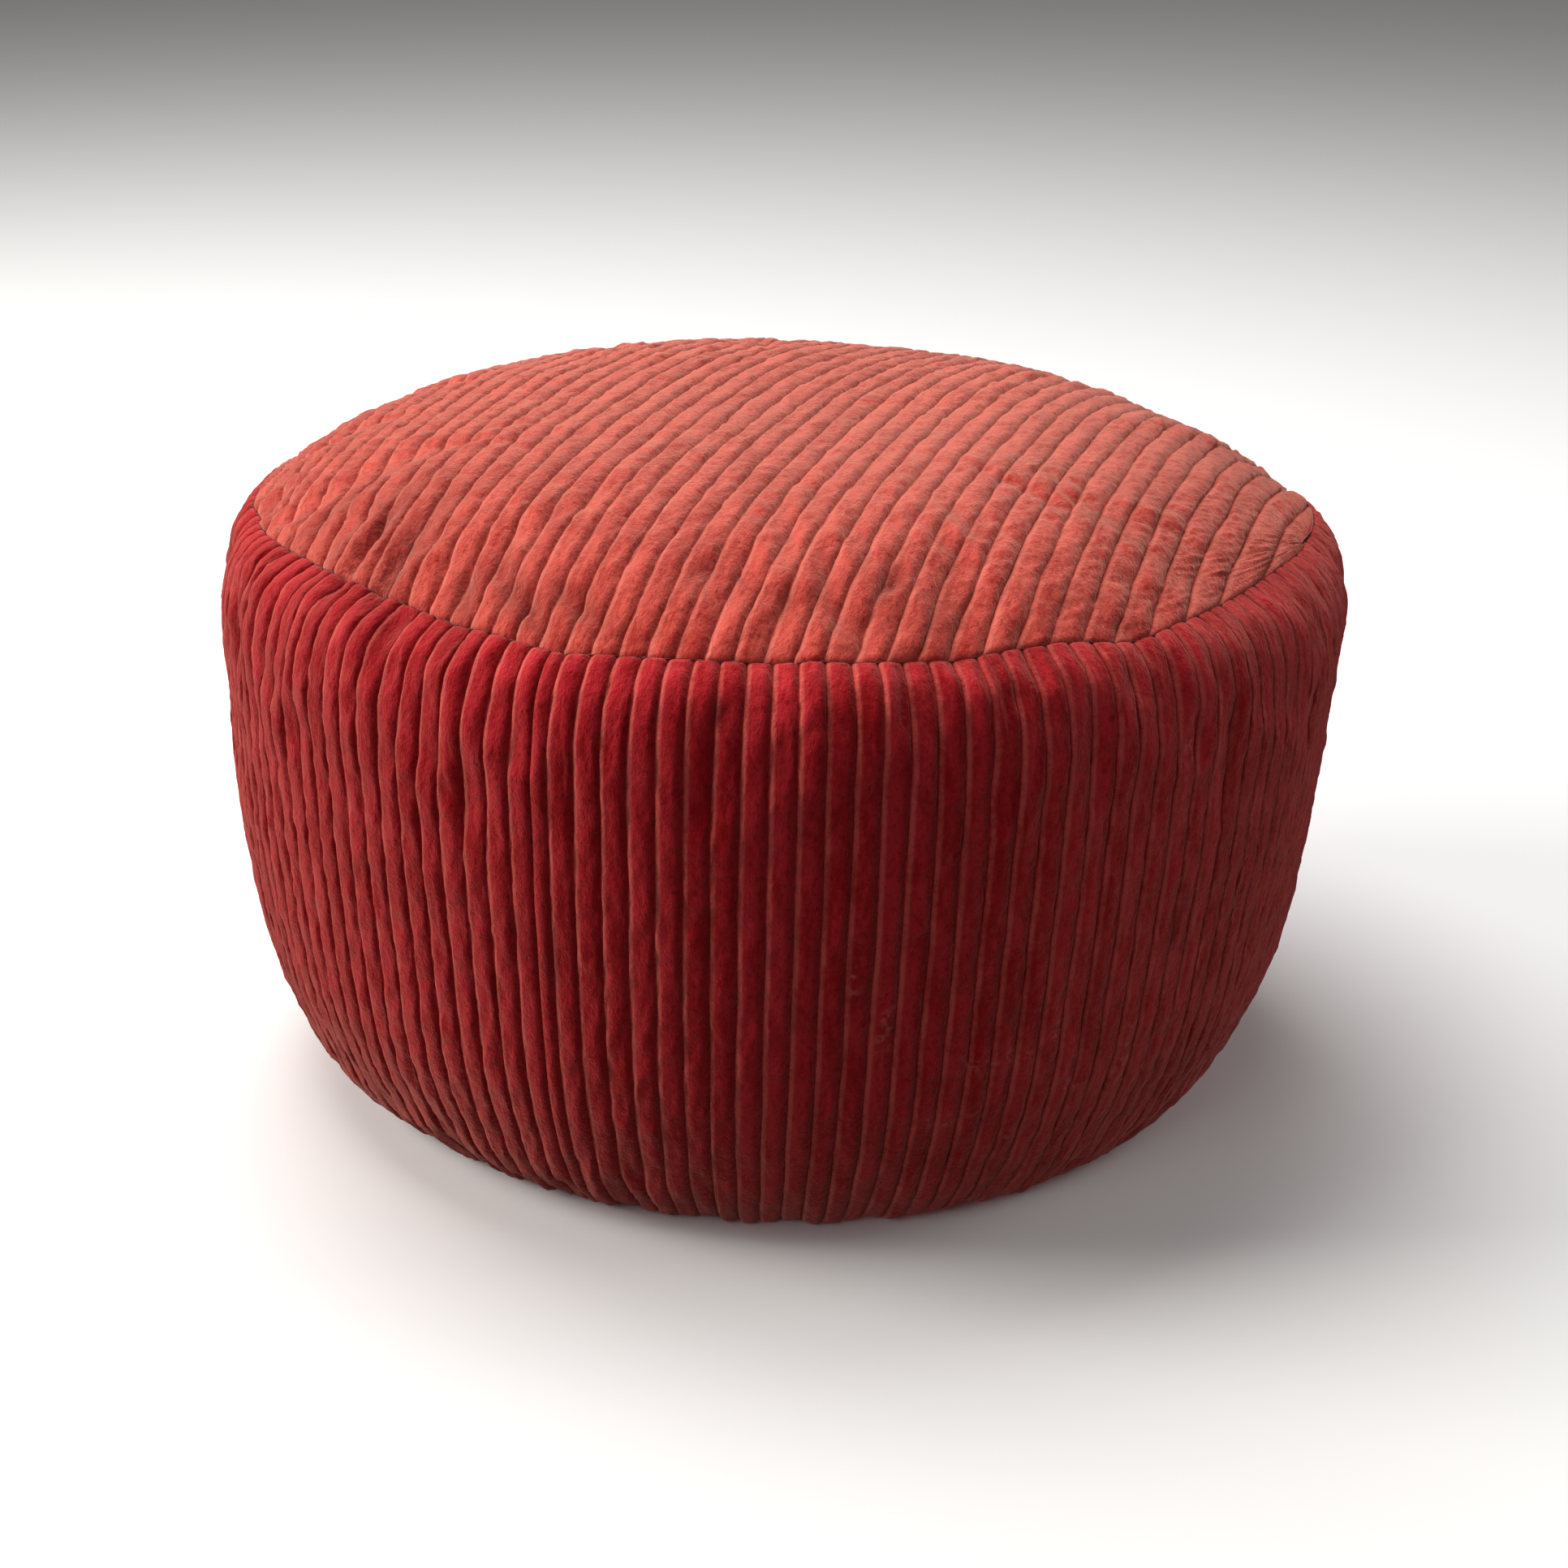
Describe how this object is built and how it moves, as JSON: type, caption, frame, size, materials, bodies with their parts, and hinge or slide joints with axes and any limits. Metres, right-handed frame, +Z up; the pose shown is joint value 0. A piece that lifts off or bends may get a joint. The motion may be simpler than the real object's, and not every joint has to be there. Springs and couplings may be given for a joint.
{
  "type": "floor pouf",
  "caption": "Round drum-shaped floor pouf with a removable wide-wale corduroy cover, a zip across the base and a lined foam core.",
  "frame": {"origin": "on the floor at the middle of the base", "axes": "+Z up through the pouf; the zip runs along X and the front side seam is 22.6 degrees from -Y towards -X"},
  "size_m": [0.5604, 0.5604, 0.336],
  "materials": {
    "corduroy": "brick-red jumbo corduroy with a crushed cotton pile",
    "base_cloth": "dark red plain-weave canvas",
    "tape": "woven polyester tape",
    "thread": "twisted polyester sewing thread",
    "coil": "moulded nylon",
    "metal": "dull gunmetal plate",
    "liner": "unbleached cotton sheeting",
    "firm_foam": "open-cell firm polyurethane foam",
    "core_foam": "open-cell polyurethane foam",
    "soft_foam": "open-cell soft polyurethane foam",
    "wadding": "lofted polyester fibre",
    "label": "plain woven satin tape with nothing printed on it"
  },
  "bodies": {
    "pouf": {"cover_top": "corduroy", "cover_side_front": "corduroy", "cover_side_back": "corduroy", "cover_base_front": "base_cloth", "cover_base_back": "base_cloth", "top_seam_binding": "tape", "base_seam_binding": "tape", "side_seam_binding_front": "tape", "side_seam_binding_back": "tape", "top_seam_thread": "thread", "base_seam_thread": "thread", "liner_side": "liner", "liner_top": "liner", "liner_base": "liner", "foam_base_block": "firm_foam", "foam_core_block": "core_foam", "foam_top_block": "soft_foam", "wadding_wrap": "wadding", "wadding_top_pad": "wadding", "zip_tape_front": "tape", "zip_tape_back": "tape", "zip_coil_front": "coil", "zip_coil_back": "coil", "zip_top_stop_front": "metal", "zip_top_stop_back": "metal", "zip_bottom_stop": "metal", "care_label": "label"},
    "slider": {"zip_slider": "metal"},
    "pull": {"zip_pull": "metal"}
  },
  "joints": [
    {"name": "zip_slide", "type": "slide", "parent": "pouf", "child": "slider", "axis": [-1, 0, 0], "range_m": [0, 0.35]},
    {"name": "pull_hinge", "type": "hinge", "parent": "slider", "child": "pull", "pos_m": [0.18, 0, 0.002], "axis": [0, -1, 0], "range_deg": [0, 150]}
  ]
}
